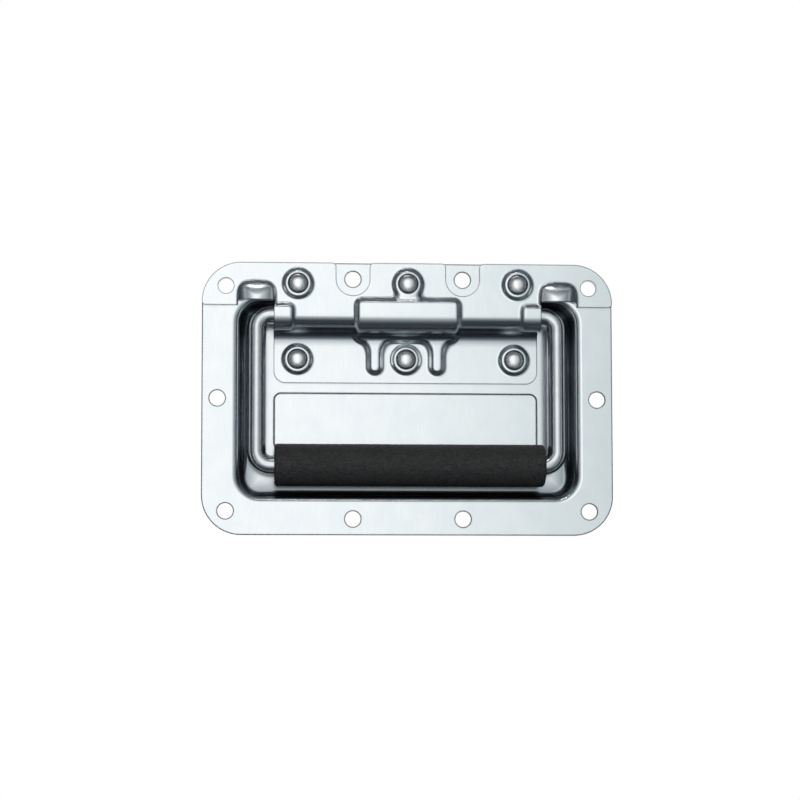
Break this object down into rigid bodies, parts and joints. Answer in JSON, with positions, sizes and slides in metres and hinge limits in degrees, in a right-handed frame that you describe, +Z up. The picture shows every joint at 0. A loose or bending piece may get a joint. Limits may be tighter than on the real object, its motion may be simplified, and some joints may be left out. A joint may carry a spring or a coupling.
{
  "type": "recessed pull handle",
  "caption": "Recessed case handle: pressed zinc-plated dish and hinge plate, sprung steel bail with a black moulded grip, domed rivets and fixing holes round the flange.",
  "frame": {"origin": "centre of the flange, on its back face, where it rests on the panel", "axes": "+X to the right along the grip, +Z up towards the hinge, +Y into the panel, so the front faces -Y"},
  "size_m": [0.172, 0.0196, 0.114],
  "materials": {
    "zinc_sheet": "satin",
    "zinc_rod": "polished",
    "rivet_steel": "satin",
    "spring_steel": "satin",
    "black_grip": "matte"
  },
  "bodies": {
    "housing": {"dish": "zinc_sheet", "hinge_plate": "zinc_sheet", "spring_left": "spring_steel", "spring_right": "spring_steel", "rivet_upper_left": "rivet_steel", "rivet_upper_middle": "rivet_steel", "rivet_upper_right": "rivet_steel", "rivet_lower_left": "rivet_steel", "rivet_lower_middle": "rivet_steel", "rivet_lower_right": "rivet_steel"},
    "bail": {"bail": "zinc_rod", "grip": "black_grip"}
  },
  "joints": [
    {"name": "bail_hinge", "type": "hinge", "parent": "housing", "child": "bail", "pos_m": [0, 0.0031, 0.0359], "axis": [-1, 0, 0], "range_deg": [0, 90], "stiffness_Nm_per_rad": 0.38, "springref_deg": -45.26, "deforming": ["spring_left", "spring_right"]}
  ]
}
